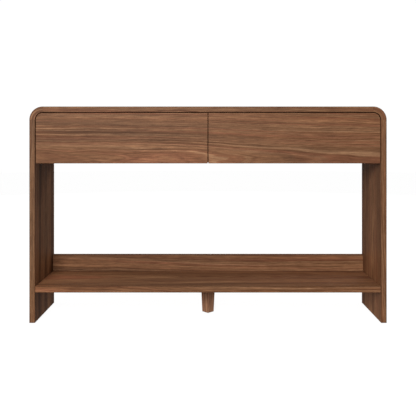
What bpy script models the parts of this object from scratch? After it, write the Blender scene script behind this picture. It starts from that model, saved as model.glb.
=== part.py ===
"""Console table in walnut: a frame with rounded upper corners, two push-to-open drawers on telescopic
slides, a low shelf with a back rail, and a tapered middle foot turned corner-forward.

Run it with: blender --background --python part.py
Lengths are in metres, +Z is up and the front faces -Y. The origin is on the floor, under the middle.
"""

import math

import bmesh
import bpy
from mathutils import Vector

# Driving dimensions
WIDTH = 1.400
DEPTH = 0.300
HEIGHT = 0.850
BOARD = 0.022  # top and sides
CORNER_RADIUS = 0.052
SHELF_BOARD = 0.025  # shelf and its back rail
SHELF_TOP = 0.146
RAIL_TOP = 0.2175
DRAWER_FRONT_BOTTOM = 0.627
DRAWER_FRONT_THICKNESS = 0.020
REVEAL = 0.0028  # gap round a drawer front
SLIDE_LENGTH = 0.250
GLIDE_HEIGHT = 0.002
FIT = 0.0003  # gap between pieces that touch
BORE_CLEARANCE = 0.0005
EASE = 0.001  # width of the eased edges of a board

# Frame
FRONT = -DEPTH / 2
BACK = DEPTH / 2
INSIDE = WIDTH / 2 - BOARD
UNDER_TOP = HEIGHT - BOARD
CORNER_X = WIDTH / 2 - CORNER_RADIUS
CORNER_Z = HEIGHT - CORNER_RADIUS
CORNER_STEPS = 20
TONGUE_WIDTH = 0.006
TONGUE_LENGTH = 0.010
TONGUE_ROOT = 0.003  # how far a tongue starts inside its own block
TONGUE_HALF_RUN = 0.125

# Drawer bay
FRONT_REAR = FRONT + DRAWER_FRONT_THICKNESS
PRESS_GAP = 0.004  # room behind a drawer front to press it in
BAY_FRONT = FRONT_REAR + PRESS_GAP
BAY_FLOOR_BOTTOM = 0.630
BAY_FLOOR_THICKNESS = 0.018
BAY_FLOOR_TOP = BAY_FLOOR_BOTTOM + BAY_FLOOR_THICKNESS
DIVIDER_THICKNESS = 0.018
BACK_PANEL_THICKNESS = 0.012
BACK_PANEL_INSET = 0.003
BACK_PANEL_FRONT = BACK - BACK_PANEL_INSET - BACK_PANEL_THICKNESS
DOWEL_RADIUS = 0.004
DOWEL_LENGTH = 0.030
DOWEL_IN_SIDE = 0.011
DOWEL_IN_FLOOR = 0.012  # the upright dowels under the divider
DOWEL_Y = 0.085

# Drawer boxes
SLIDE_SPACE = 0.0127
BOX_WALL = 0.012
BOX_BOTTOM = BAY_FLOOR_TOP + 0.008
BOX_TOP = BOX_BOTTOM + 0.150
BOX_FRONT = FRONT_REAR + FIT
BOX_BACK = BAY_FRONT + SLIDE_LENGTH
PANEL_THICKNESS = 0.006
PANEL_GROOVE = 0.005
PANEL_BOTTOM = BOX_BOTTOM + 0.010

# Telescopic slides: three channels of bent sheet, one inside the other
SLIDE_MIDDLE_Z = 0.706
SHEET = 0.0012
SLIDE_HEIGHT = 0.045
CHANNEL_STEP = 0.0041  # from one channel's flange to the next, with the balls between
CABINET_FLANGE = 0.0100
MIDDLE_WEB = 0.0022  # from the cabinet's wall
MIDDLE_FLANGE = 0.0086
DRAWER_FLANGE = 0.0082

# Push latches, let into the front edge of the bay floor
LATCH_Z = BAY_FLOOR_BOTTOM + BAY_FLOOR_THICKNESS / 2
LATCH_RADIUS = 0.005
LATCH_LENGTH = 0.045
PLUNGER_RADIUS = 0.0026
PLUNGER_LENGTH = 0.026
PLUNGER_BORE = 0.034

# Middle foot
FOOT_Y = 0.013
FOOT_TOP_HALF_DIAGONAL = 0.0305
FOOT_BOTTOM_HALF_DIAGONAL = 0.0238
FOOT_EASE = 0.002
BOLT_RADIUS = 0.004
BOLT_IN_FOOT = 0.034
BOLT_IN_SHELF = 0.013
INSERT_RADIUS = 0.006
INSERT_LENGTH = 0.015

# Glides
GLIDE_RADIUS = 0.009
FOOT_GLIDE_RADIUS = 0.012
GLIDE_RIM = 0.0006
GLIDE_PIN_RADIUS = 0.0015
GLIDE_PIN_LENGTH = 0.014
GLIDE_Y = 0.120

# Cam fittings between shelf and sides
CAM_RADIUS = 0.0075
CAM_HEIGHT = 0.017
CAM_FROM_END = 0.034
CAM_Y = 0.095
CAM_BOLT_RADIUS = 0.003
CAM_BOLT_IN_SIDE = 0.012
CAM_BOLT_Z = SHELF_TOP - SHELF_BOARD / 2

TABLE = "console_table"
CUTTERS = "cutters"
HANDS = (("left", -1), ("right", 1))
SHARP_ANGLE = math.radians(40)
WELD = 0.00002
OVERRUN = 0.002  # how far a cutter starts outside the face that it enters

# Base colour, roughness and metallic value of each finish
FINISHES = {
    "walnut": ((0.26, 0.135, 0.075, 1), 0.5, 0.0),
    "drawer_birch": ((0.62, 0.47, 0.31, 1), 0.55, 0.0),
    "beech_dowel": ((0.55, 0.38, 0.24, 1), 0.6, 0.0),
    "zinc_steel": ((0.55, 0.56, 0.58, 1), 0.35, 1.0),
    "dark_nylon": ((0.10, 0.07, 0.05, 1), 0.6, 0.0),
}


def new_scene():
    for obj in list(bpy.data.objects):
        bpy.data.objects.remove(obj)
    for name in (TABLE, CUTTERS):
        bpy.context.scene.collection.children.link(bpy.data.collections.new(name))


def finish(name):
    """The material of a finish, made the first time it is asked for."""
    material = bpy.data.materials.get(name)
    if material:
        return material
    colour, roughness, metallic = FINISHES[name]
    material = bpy.data.materials.new(name)
    material.use_nodes = True
    shader = material.node_tree.nodes["Principled BSDF"]
    shader.inputs["Base Color"].default_value = colour
    shader.inputs["Roughness"].default_value = roughness
    shader.inputs["Metallic"].default_value = metallic
    return material


def add_object(name, mesh, centre, material, parent=None):
    """Puts a mesh in the table's collection, or among the cutters when it has no material."""
    obj = bpy.data.objects.new(name, mesh)
    if material:
        mesh.materials.append(finish(material))
        bpy.data.collections[TABLE].objects.link(obj)
    else:
        obj.hide_render = True
        obj.display_type = "WIRE"
        bpy.data.collections[CUTTERS].objects.link(obj)
    obj.location = centre
    if parent:
        obj.parent = parent
        obj.location = Vector(centre) - parent.location
    return obj


def ease_edges(obj, width=EASE, segments=2, seam=None):
    """Eases the sharp edges of a piece. seam tells the points of a joint whose edges stay sharp."""
    shape = bmesh.new()
    shape.from_mesh(obj.data)
    weight = shape.edges.layers.float.new("bevel_weight_edge")
    for edge in shape.edges:
        in_seam = seam and all(seam(vertex.co + obj.location) for vertex in edge.verts)
        if edge.calc_face_angle(0) > SHARP_ANGLE and not in_seam:
            edge[weight] = 1
    shape.to_mesh(obj.data)
    shape.free()
    bevel = obj.modifiers.new("eased edges", "BEVEL")
    bevel.width = width
    bevel.segments = segments
    bevel.limit_method = "WEIGHT"
    return obj


def combine(obj, tool, operation):
    boolean = obj.modifiers.new(tool.name, "BOOLEAN")
    boolean.operation = operation
    boolean.object = tool


def cut(obj, *tools):
    for tool in tools:
        combine(obj, tool, "DIFFERENCE")
    return obj


def mesh_of(name, shape):
    mesh = bpy.data.meshes.new(name)
    shape.to_mesh(mesh)
    shape.free()
    return mesh


def block(name, low, high, material=None, parent=None):
    """A rectangular block between two corners, given in any order along each axis."""
    spans = [sorted(pair) for pair in zip(low, high)]
    low = Vector([span[0] for span in spans])
    high = Vector([span[1] for span in spans])
    shape = bmesh.new()
    bmesh.ops.create_cube(shape, size=1)
    bmesh.ops.scale(shape, vec=high - low, verts=shape.verts)
    return add_object(name, mesh_of(name, shape), (low + high) / 2, material, parent)


def cylinder(name, radius, low, high, material=None, segments=24, end_radius=None):
    """A cylinder between two points, or a cone where end_radius, the radius at high, differs."""
    low, high = Vector(low), Vector(high)
    shape = bmesh.new()
    bmesh.ops.create_cone(
        shape,
        cap_ends=True,
        segments=segments,
        radius1=radius,
        radius2=radius if end_radius is None else end_radius,
        depth=(high - low).length,
    )
    obj = add_object(name, mesh_of(name, shape), (low + high) / 2, material)
    obj.rotation_euler = (high - low).to_track_quat("Z", "Y").to_euler()
    obj.data.shade_smooth()
    obj.data.set_sharp_from_angle(angle=SHARP_ANGLE)
    return obj


def turned(name, profile, centre, material):
    """A solid of revolution about Z. The profile is (radius, height) pairs, from top to bottom."""
    mesh = bpy.data.meshes.new(name)
    edges = [(i, i + 1) for i in range(len(profile) - 1)]
    mesh.from_pydata([(radius, 0, height) for radius, height in profile], edges, [])
    obj = add_object(name, mesh, centre, material)
    screw = obj.modifiers.new("turned", "SCREW")
    screw.steps = screw.render_steps = 24
    screw.use_merge_vertices = True
    screw.merge_threshold = 0.00005
    return obj


def arc(centre, radius, start, end):
    """Points along an arc, both ends included. Angles are in degrees."""
    angles = [math.radians(start + (end - start) * i / CORNER_STEPS) for i in range(CORNER_STEPS + 1)]
    return [(centre[0] + radius * math.cos(a), centre[1] + radius * math.sin(a)) for a in angles]


def plate(name, outline, low_y, high_y, material, parent=None):
    """A flat outline of (x, z) points, drawn as a curve and thickened from low_y to high_y."""
    curve = bpy.data.curves.new(name, "CURVE")
    curve.dimensions = "2D"
    curve.fill_mode = "BOTH"
    curve.extrude = (high_y - low_y) / 2
    spline = curve.splines.new("POLY")
    spline.points.add(len(outline) - 1)
    spline.use_cyclic_u = True
    for point, (x, z) in zip(spline.points, outline):
        point.co = (x, z, 0, 1)
    drawn = bpy.data.objects.new(name + "_outline", curve)
    bpy.context.scene.collection.objects.link(drawn)
    drawn.rotation_euler.x = math.radians(90)
    bpy.context.view_layer.update()
    solid = bpy.data.meshes.new_from_object(drawn.evaluated_get(bpy.context.evaluated_depsgraph_get()))
    shape = bmesh.new()
    shape.from_mesh(solid)
    shape.transform(drawn.matrix_world)
    bmesh.ops.remove_doubles(shape, verts=shape.verts, dist=WELD)
    bmesh.ops.dissolve_limit(shape, angle_limit=math.radians(0.5), verts=shape.verts, edges=shape.edges)
    bmesh.ops.recalc_face_normals(shape, faces=shape.faces)
    bpy.data.objects.remove(drawn)
    return add_object(name, mesh_of(name, shape), (0, (low_y + high_y) / 2, 0), material, parent)


def make_frame():
    """Top and sides, joined by rounded corner blocks with stopped tongues."""

    def at_top_seam(point):
        return abs(abs(point.x) - CORNER_X) < 2 * FIT

    def at_side_seam(point):
        return abs(point.z - CORNER_Z) < 2 * FIT

    def at_any_seam(point):
        return at_top_seam(point) or at_side_seam(point)

    top = block("top_panel", (-CORNER_X + FIT, FRONT, UNDER_TOP), (CORNER_X - FIT, BACK, HEIGHT), "walnut")
    ease_edges(top, seam=at_top_seam)
    for hand, side in HANDS:
        outer = arc((CORNER_X, CORNER_Z), CORNER_RADIUS, 0, 90)
        inner = arc((CORNER_X, CORNER_Z), CORNER_RADIUS - BOARD, 90, 0)
        ring = [(side * x, z) for x, z in outer + inner]
        corner = plate(f"corner_block_{hand}", ring, FRONT, BACK, "walnut")
        ease_edges(corner, seam=at_any_seam)
        for tongue in corner_tongues(hand, side, 0):
            combine(corner, tongue, "UNION")
        panel = block(
            f"side_panel_{hand}",
            (side * INSIDE, FRONT, GLIDE_HEIGHT),
            (side * WIDTH / 2, BACK, CORNER_Z - FIT),
            "walnut",
        )
        ease_edges(panel, seam=at_side_seam)
        lower_groove, upper_groove = corner_tongues(hand, side, FIT)
        cut(panel, lower_groove)
        cut(top, upper_groove)
        for place, end in (("front", -1), ("back", 1)):
            centre_x = side * (WIDTH - BOARD) / 2
            fit_glide(panel, f"glide_{hand}_{place}", centre_x, end * GLIDE_Y, GLIDE_RADIUS)


def corner_tongues(hand, side, room):
    """The two tongues of a corner block or, with room added, the grooves that take them."""
    half = TONGUE_WIDTH / 2 + room
    run = TONGUE_HALF_RUN + room
    reach = TONGUE_LENGTH + room
    middle_x = (WIDTH - BOARD) / 2
    middle_z = HEIGHT - BOARD / 2
    kind = "groove" if room else "tongue"
    lower = block(
        f"{kind}_{hand}_lower",
        (side * (middle_x - half), -run, CORNER_Z - reach),
        (side * (middle_x + half), run, CORNER_Z + TONGUE_ROOT),
    )
    upper = block(
        f"{kind}_{hand}_upper",
        (side * (CORNER_X - reach), -run, middle_z - half),
        (side * (CORNER_X + TONGUE_ROOT), run, middle_z + half),
    )
    return lower, upper


def fit_glide(board, name, x, y, radius):
    """A nailed nylon glide under a board, and the hole for its pin."""
    top = GLIDE_HEIGHT - FIT
    profile = [
        (0, top + GLIDE_PIN_LENGTH),
        (GLIDE_PIN_RADIUS, top + GLIDE_PIN_LENGTH - GLIDE_PIN_RADIUS),
        (GLIDE_PIN_RADIUS, top),
        (radius, top),
        (radius, GLIDE_RIM),
        (radius - GLIDE_RIM, 0),
        (0, 0),
    ]
    turned(name, profile, (x, y, 0), "dark_nylon")
    hole_top = top + GLIDE_PIN_LENGTH + BORE_CLEARANCE
    hole_radius = GLIDE_PIN_RADIUS + BORE_CLEARANCE
    cut(board, cylinder(name + "_hole", hole_radius, (x, y, 0), (x, y, hole_top), segments=12))


def make_shelf():
    """Shelf and back rail, with cam fittings that hold the shelf between the sides."""
    half = INSIDE - FIT
    shelf = block("shelf", (-half, FRONT, SHELF_TOP - SHELF_BOARD), (half, BACK, SHELF_TOP), "walnut")
    rail_low = (-half, BACK - SHELF_BOARD, SHELF_TOP + FIT)
    rail = block("shelf_rail", rail_low, (half, BACK, RAIL_TOP), "walnut")
    ease_edges(shelf)
    ease_edges(rail)
    for hand, side in HANDS:
        for place, end in (("front", -1), ("back", 1)):
            fit_cam(shelf, f"{hand}_{place}", side, end * CAM_Y)
    make_middle_foot(shelf)


def fit_cam(shelf, place, side, y):
    """A cam let into the underside of the shelf, its bolt into the side panel, and the bores for both."""
    under = SHELF_TOP - SHELF_BOARD
    x = side * (INSIDE - CAM_FROM_END)
    panel = bpy.data.objects["side_panel_left" if side < 0 else "side_panel_right"]
    cam_top = under + CAM_HEIGHT
    cam = cylinder(f"shelf_cam_{place}", CAM_RADIUS, (x, y, under + FIT), (x, y, cam_top), "zinc_steel")
    slot_half = CAM_BOLT_RADIUS + BORE_CLEARANCE
    slot = block(
        f"cam_slot_{place}",
        (x - side * BORE_CLEARANCE, y - slot_half, CAM_BOLT_Z - slot_half),
        (x + side * 2 * CAM_RADIUS, y + slot_half, SHELF_TOP),
    )
    cut(cam, slot)
    cam_bore = cylinder(
        f"cam_bore_{place}",
        CAM_RADIUS + BORE_CLEARANCE,
        (x, y, under - OVERRUN),
        (x, y, cam_top + BORE_CLEARANCE),
    )
    bolt_end = side * (INSIDE + CAM_BOLT_IN_SIDE)
    bolt_start = (x + side * BORE_CLEARANCE, y, CAM_BOLT_Z)
    bolt_name = f"shelf_cam_bolt_{place}"
    cylinder(bolt_name, CAM_BOLT_RADIUS, bolt_start, (bolt_end, y, CAM_BOLT_Z), "zinc_steel", 12)
    bolt_bore = cylinder(
        f"bolt_bore_{place}",
        slot_half,
        (x, y, CAM_BOLT_Z),
        (bolt_end + side * BORE_CLEARANCE, y, CAM_BOLT_Z),
        segments=12,
    )
    cut(shelf, cam_bore, bolt_bore)
    cut(panel, bolt_bore)


def make_middle_foot(shelf):
    """A tapered square foot turned corner-forward, on a bolt that runs up into an insert in the shelf."""
    under = SHELF_TOP - SHELF_BOARD
    foot_top = under - FIT
    foot = cylinder(
        "middle_foot",
        FOOT_BOTTOM_HALF_DIAGONAL,
        (0, FOOT_Y, GLIDE_HEIGHT),
        (0, FOOT_Y, foot_top),
        "walnut",
        segments=4,
        end_radius=FOOT_TOP_HALF_DIAGONAL,
    )
    ease_edges(foot, FOOT_EASE, 3)
    bolt_low = foot_top - BOLT_IN_FOOT
    bolt_high = under + BOLT_IN_SHELF
    cylinder("foot_bolt", BOLT_RADIUS, (0, FOOT_Y, bolt_low), (0, FOOT_Y, bolt_high), "zinc_steel", 16)
    bolt_bore = cylinder(
        "foot_bolt_bore",
        BOLT_RADIUS + BORE_CLEARANCE,
        (0, FOOT_Y, bolt_low - BORE_CLEARANCE),
        (0, FOOT_Y, bolt_high + BORE_CLEARANCE),
        segments=16,
    )
    insert_base = (0, FOOT_Y, under)
    insert_top = under + INSERT_LENGTH
    insert = cylinder("foot_insert", INSERT_RADIUS, insert_base, (0, FOOT_Y, insert_top), "zinc_steel")
    pocket = cylinder(
        "insert_pocket",
        INSERT_RADIUS + BORE_CLEARANCE,
        (0, FOOT_Y, under - OVERRUN),
        (0, FOOT_Y, insert_top + BORE_CLEARANCE),
    )
    cut(foot, bolt_bore)
    cut(insert, bolt_bore)
    cut(shelf, pocket)
    fit_glide(foot, "glide_middle_foot", 0, FOOT_Y, FOOT_GLIDE_RADIUS)


def make_drawer_bay():
    """Floor, divider and back of the space that holds the drawers, with the dowels that hold them."""
    half = INSIDE - FIT
    rear = BACK_PANEL_FRONT - FIT
    floor = block("bay_floor", (-half, BAY_FRONT, BAY_FLOOR_BOTTOM), (half, rear, BAY_FLOOR_TOP), "walnut")
    divider = block(
        "bay_divider",
        (-DIVIDER_THICKNESS / 2, BAY_FRONT, BAY_FLOOR_TOP + FIT),
        (DIVIDER_THICKNESS / 2, rear, UNDER_TOP - FIT),
        "walnut",
    )
    ease_edges(floor, EASE / 2)
    ease_edges(divider, EASE / 2)
    radius = CORNER_RADIUS - BOARD - FIT
    outline = [(-half, BAY_FLOOR_BOTTOM), (half, BAY_FLOOR_BOTTOM)]
    outline += arc((CORNER_X, CORNER_Z), radius, 0, 90)
    outline += arc((-CORNER_X, CORNER_Z), radius, 90, 180)
    back_panel_rear = BACK_PANEL_FRONT + BACK_PANEL_THICKNESS
    ease_edges(plate("bay_back", outline, BACK_PANEL_FRONT, back_panel_rear, "walnut"))
    for place, y in (("front", -DOWEL_Y), ("back", DOWEL_Y)):
        for hand, side in HANDS:
            outer_end = side * (INSIDE + DOWEL_IN_SIDE)
            start = (outer_end - side * DOWEL_LENGTH, y, LATCH_Z)
            panel = bpy.data.objects[f"side_panel_{hand}"]
            fit_dowel(f"floor_dowel_{hand}_{place}", start, (outer_end, y, LATCH_Z), floor, panel)
        bottom = BAY_FLOOR_TOP - DOWEL_IN_FLOOR
        fit_dowel(f"divider_dowel_{place}", (0, y, bottom), (0, y, bottom + DOWEL_LENGTH), floor, divider)


def fit_dowel(name, low, high, *boards):
    """A dowel between two points, and the bore for it in each board that it joins."""
    cylinder(name, DOWEL_RADIUS, low, high, "beech_dowel", 16)
    along = (Vector(high) - Vector(low)).normalized() * BORE_CLEARANCE
    radius = DOWEL_RADIUS + BORE_CLEARANCE
    bore = cylinder(name + "_bore", radius, Vector(low) - along, Vector(high) + along, segments=16)
    for board in boards:
        cut(board, bore)


def fit_push_latch(hand, centre_x):
    """A push latch in the front edge of the bay floor, whose plunger holds the drawer front flush."""
    mouth = (centre_x, BAY_FRONT, LATCH_Z)
    housing_end = (centre_x, BAY_FRONT + LATCH_LENGTH, LATCH_Z)
    housing = cylinder(f"{hand}_latch_housing", LATCH_RADIUS, mouth, housing_end, "dark_nylon")
    outside = (centre_x, BAY_FRONT - OVERRUN, LATCH_Z)
    bore_end = (centre_x, BAY_FRONT + PLUNGER_BORE, LATCH_Z)
    bore_radius = PLUNGER_RADIUS + BORE_CLEARANCE
    cut(housing, cylinder(f"{hand}_plunger_bore", bore_radius, outside, bore_end, segments=16))
    pocket_end = (centre_x, BAY_FRONT + LATCH_LENGTH + BORE_CLEARANCE, LATCH_Z)
    pocket = cylinder(f"{hand}_latch_pocket", LATCH_RADIUS + BORE_CLEARANCE, outside, pocket_end)
    cut(bpy.data.objects["bay_floor"], pocket)
    tip = FRONT_REAR + FIT
    plunger_end = (centre_x, tip + PLUNGER_LENGTH, LATCH_Z)
    plunger = f"{hand}_latch_plunger"
    cylinder(plunger, PLUNGER_RADIUS, (centre_x, tip, LATCH_Z), plunger_end, "dark_nylon", 16)


def make_drawer(hand, side):
    """One drawer: its front, a box with a thin grooved-in bottom, two slides and a push latch."""
    near = side * DIVIDER_THICKNESS / 2
    far = side * INSIDE
    travel = bpy.data.objects.new(f"{hand}_drawer_travel", None)
    travel.location = ((near + far) / 2, FRONT, SLIDE_MIDDLE_Z)
    bpy.data.collections[TABLE].objects.link(travel)
    make_drawer_front(hand, side, travel)
    make_drawer_box(hand, min(near, far) + SLIDE_SPACE, max(near, far) - SLIDE_SPACE, travel)
    make_slide(f"{hand}_inboard_slide", near, side, travel)
    make_slide(f"{hand}_outboard_slide", far, -side, travel)
    fit_push_latch(hand, travel.location.x)


def make_drawer_front(hand, side, travel):
    """A front whose outer top corner is rounded to follow the frame."""
    near = REVEAL / 2
    outline = [(near, DRAWER_FRONT_BOTTOM), (INSIDE - REVEAL, DRAWER_FRONT_BOTTOM)]
    outline += arc((CORNER_X, CORNER_Z), CORNER_RADIUS - BOARD - REVEAL, 0, 90)
    outline += [(near, UNDER_TOP - REVEAL)]
    outline = [(side * x, z) for x, z in outline]
    ease_edges(plate(f"{hand}_drawer_front", outline, FRONT, FRONT_REAR, "walnut", travel))


def make_drawer_box(hand, low_x, high_x, travel):
    """Four walls round a bottom panel that sits in grooves."""
    spans = {
        "left": ((low_x, low_x + BOX_WALL), (BOX_FRONT, BOX_BACK)),
        "right": ((high_x - BOX_WALL, high_x), (BOX_FRONT, BOX_BACK)),
    }
    between = (low_x + BOX_WALL + FIT, high_x - BOX_WALL - FIT)
    spans["front"] = (between, (BOX_FRONT, BOX_FRONT + BOX_WALL))
    spans["back"] = (between, (BOX_BACK - BOX_WALL, BOX_BACK))
    inset = BOX_WALL - PANEL_GROOVE
    panel_low = Vector((low_x + inset, BOX_FRONT + inset, PANEL_BOTTOM))
    panel_high = Vector((high_x - inset, BOX_BACK - inset, PANEL_BOTTOM + PANEL_THICKNESS))
    block(f"{hand}_drawer_bottom", panel_low, panel_high, "drawer_birch", travel)
    room = Vector((FIT, FIT, FIT))
    groove = block(f"{hand}_bottom_groove", panel_low - room, panel_high + room)
    for place, (x, y) in spans.items():
        low = (x[0], y[0], BOX_BOTTOM)
        high = (x[1], y[1], BOX_TOP)
        wall = block(f"{hand}_drawer_box_{place}", low, high, "drawer_birch", travel)
        cut(ease_edges(wall, EASE / 2), groove)


def channel(web, reach, half_height):
    """The outline of a channel: web is the (x, x) of its back, reach the x of its flanges' ends."""
    back, face = web
    inner = half_height - SHEET
    upper = [(back, half_height), (reach, half_height), (reach, inner), (face, inner)]
    return upper + [(x, -z) for x, z in reversed(upper)]


def make_slide(name, wall_x, towards, travel):
    """A three-part slide on a wall at wall_x, with the drawer on the side that towards points to."""
    drawer_side = SLIDE_SPACE - FIT
    members = (
        ("cabinet_member", (FIT, FIT + SHEET), CABINET_FLANGE, None),
        ("middle_member", (MIDDLE_WEB, MIDDLE_WEB + SHEET), MIDDLE_WEB + MIDDLE_FLANGE, None),
        ("drawer_member", (drawer_side, drawer_side - SHEET), drawer_side - DRAWER_FLANGE, travel),
    )
    for place, (member, web, reach, parent) in enumerate(members):
        outline = channel(web, reach, SLIDE_HEIGHT / 2 - place * CHANNEL_STEP)
        outline = [(wall_x + towards * x, SLIDE_MIDDLE_Z + z) for x, z in outline]
        plate(f"{name}_{member}", outline, BAY_FRONT, BAY_FRONT + SLIDE_LENGTH, "zinc_steel", parent)


def main():
    new_scene()
    make_frame()
    make_shelf()
    make_drawer_bay()
    for hand, side in HANDS:
        make_drawer(hand, side)


main()
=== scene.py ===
"""The looks of a walnut console table: veneered boards with bent corner blocks, a tapered middle foot,
plywood drawer boxes, ball-bearing slides, push latches and cam fittings, on a pale studio floor."""

import math

import bmesh
import bpy
from mathutils import Matrix, Vector


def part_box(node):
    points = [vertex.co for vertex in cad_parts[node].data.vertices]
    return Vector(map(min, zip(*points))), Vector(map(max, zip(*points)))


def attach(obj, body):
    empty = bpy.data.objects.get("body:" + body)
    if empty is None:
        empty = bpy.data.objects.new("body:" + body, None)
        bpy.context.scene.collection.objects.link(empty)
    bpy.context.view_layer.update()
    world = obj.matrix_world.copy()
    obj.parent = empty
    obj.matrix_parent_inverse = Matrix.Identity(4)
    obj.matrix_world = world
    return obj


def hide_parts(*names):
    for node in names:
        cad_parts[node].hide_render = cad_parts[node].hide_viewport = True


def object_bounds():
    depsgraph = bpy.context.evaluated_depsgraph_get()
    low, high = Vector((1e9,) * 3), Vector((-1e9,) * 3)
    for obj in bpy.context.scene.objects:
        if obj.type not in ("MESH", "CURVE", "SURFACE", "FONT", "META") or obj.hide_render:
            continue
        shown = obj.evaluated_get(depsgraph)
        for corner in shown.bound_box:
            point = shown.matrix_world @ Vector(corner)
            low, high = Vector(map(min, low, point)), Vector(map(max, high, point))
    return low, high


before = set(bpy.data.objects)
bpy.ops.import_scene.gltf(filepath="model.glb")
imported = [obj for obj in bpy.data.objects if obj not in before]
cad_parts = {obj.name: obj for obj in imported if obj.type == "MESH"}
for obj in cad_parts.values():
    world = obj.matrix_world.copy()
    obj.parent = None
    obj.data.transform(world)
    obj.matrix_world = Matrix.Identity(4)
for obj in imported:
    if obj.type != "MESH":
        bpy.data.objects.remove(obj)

bl_info = {
    "name": "Walnut Console Table",
    "version": (1, 0, 0),
    "blender": (4, 5, 0),
    "location": "View3D > Sidebar > Console Table",
    "description": "Builds the boards, drawers, slides and fittings of a walnut console table",
    "category": "Add Mesh",
}

CAD_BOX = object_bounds()
HANDS = ("left", "right")
ENDS = ("front", "back")
WHERES = ("inboard", "outboard")
CAMS = [f"shelf_cam_{hand}_{end}" for hand in HANDS for end in ENDS]
AXES = {"X": 0, "Y": 1, "Z": 2}
RIGHT_ANGLE = math.radians(90)
WELD = 0.00001
AXLE = 0.0002  # the radius that a turned piece has where it meets its axis
EDGE_STEPS, CORNER_STEPS = 6, 32  # segments of an eased edge and of a large corner
BIG_CORNER = 0.01  # a larger radius is a shape of its own and not an eased edge
FADE = 0.0015  # how far the darkening of an eased edge reaches into a face


# Shader trees


class Value:
    """An output in a shader tree. Arithmetic on it adds Math nodes."""

    def __init__(self, shader, socket):
        self.shader = shader
        self.socket = socket

    def __add__(self, other):
        return self.shader.math("ADD", self, other)

    def __sub__(self, other):
        return self.shader.math("SUBTRACT", self, other)

    def __rsub__(self, other):
        return self.shader.math("SUBTRACT", other, self)

    def __mul__(self, other):
        return self.shader.math("MULTIPLY", self, other)

    def __truediv__(self, other):
        return self.shader.math("DIVIDE", self, other)

    __radd__ = __add__


class Shader:
    """A new material, whose nodes all come from node()."""

    def __init__(self, name):
        self.material = bpy.data.materials.new(name)
        self.material.use_nodes = True
        self.tree = self.material.node_tree
        self.surface = self.tree.nodes["Principled BSDF"]

    def node(self, kind, settings, inputs, output=0):
        """Adds a node, makes its settings, feeds its sockets, and returns one of its outputs."""
        node = self.tree.nodes.new(kind)
        for setting, value in settings.items():
            setattr(node, setting, value)
        self.feed(node, inputs)
        return Value(self, node.outputs[output])

    def feed(self, node, inputs):
        for key, value in inputs.items():
            if isinstance(value, Value):
                self.tree.links.new(value.socket, node.inputs[key])
            else:
                socket = node.inputs[key]
                socket.default_value = (*value, 1.0) if socket.type == "RGBA" else value

    def math(self, operation, *operands):
        return self.node("ShaderNodeMath", {"operation": operation}, dict(enumerate(operands)))

    def vector(self, operation, *operands, output=0):
        settings = {"operation": operation}
        return self.node("ShaderNodeVectorMath", settings, dict(enumerate(operands)), output)

    def attribute(self, name, output):
        return self.node("ShaderNodeAttribute", {"attribute_name": name}, {}, output)

    def coordinate(self, place, axis):
        return self.node("ShaderNodeSeparateXYZ", {}, {0: place}, AXES[axis])

    def noise(self, place, frequency, detail=2.0, roughness=0.5, output=0, layer=0.0):
        """Noise of a frequency in cycles a metre, or of one along each axis of place. Two noises of one
        frequency differ where they have different layers."""
        each = frequency if isinstance(frequency, tuple) else (frequency,) * 3
        stretched = self.vector("MULTIPLY_ADD", place, each, (0.0, 0.0, layer))
        inputs = {"Vector": stretched, "Scale": 1.0, "Detail": detail, "Roughness": roughness}
        return self.node("ShaderNodeTexNoise", {}, inputs, output)

    def ramp(self, value, *stops):
        """A value looked up between (position, number or colour) stops."""
        found = self.node("ShaderNodeValToRGB", {}, {0: value})
        elements = found.socket.node.color_ramp.elements
        while len(elements) < len(stops):
            elements.new(1.0)
        for element, (position, level) in zip(elements, stops):
            element.position = position
            element.color = (*(level if isinstance(level, tuple) else (level,) * 3), 1.0)
        return found

    def mix(self, factor, first, second, blend="MIX"):
        """A colour between two colours."""
        settings = {"data_type": "RGBA", "blend_type": blend}
        return self.node("ShaderNodeMix", settings, {0: factor, 6: first, 7: second}, output=2)

    def shade(self, colour, pattern, *stops):
        """A colour times what a pattern gives between (position, number or colour) stops."""
        return self.mix(1.0, colour, self.ramp(pattern, *stops), "MULTIPLY")

    def object_place(self):
        return self.node("ShaderNodeTexCoord", {}, {}, output=3)

    def bump(self, height, distance, strength=1.0):
        inputs = {"Strength": strength, "Distance": distance, "Height": height}
        return self.node("ShaderNodeBump", {}, inputs)

    def finish(self, **inputs):
        """Feeds the surface, whose sockets are named in words joined by underscores, and gives the
        material."""
        self.feed(self.surface, {key.replace("_", " "): value for key, value in inputs.items()})
        return self.material


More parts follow.
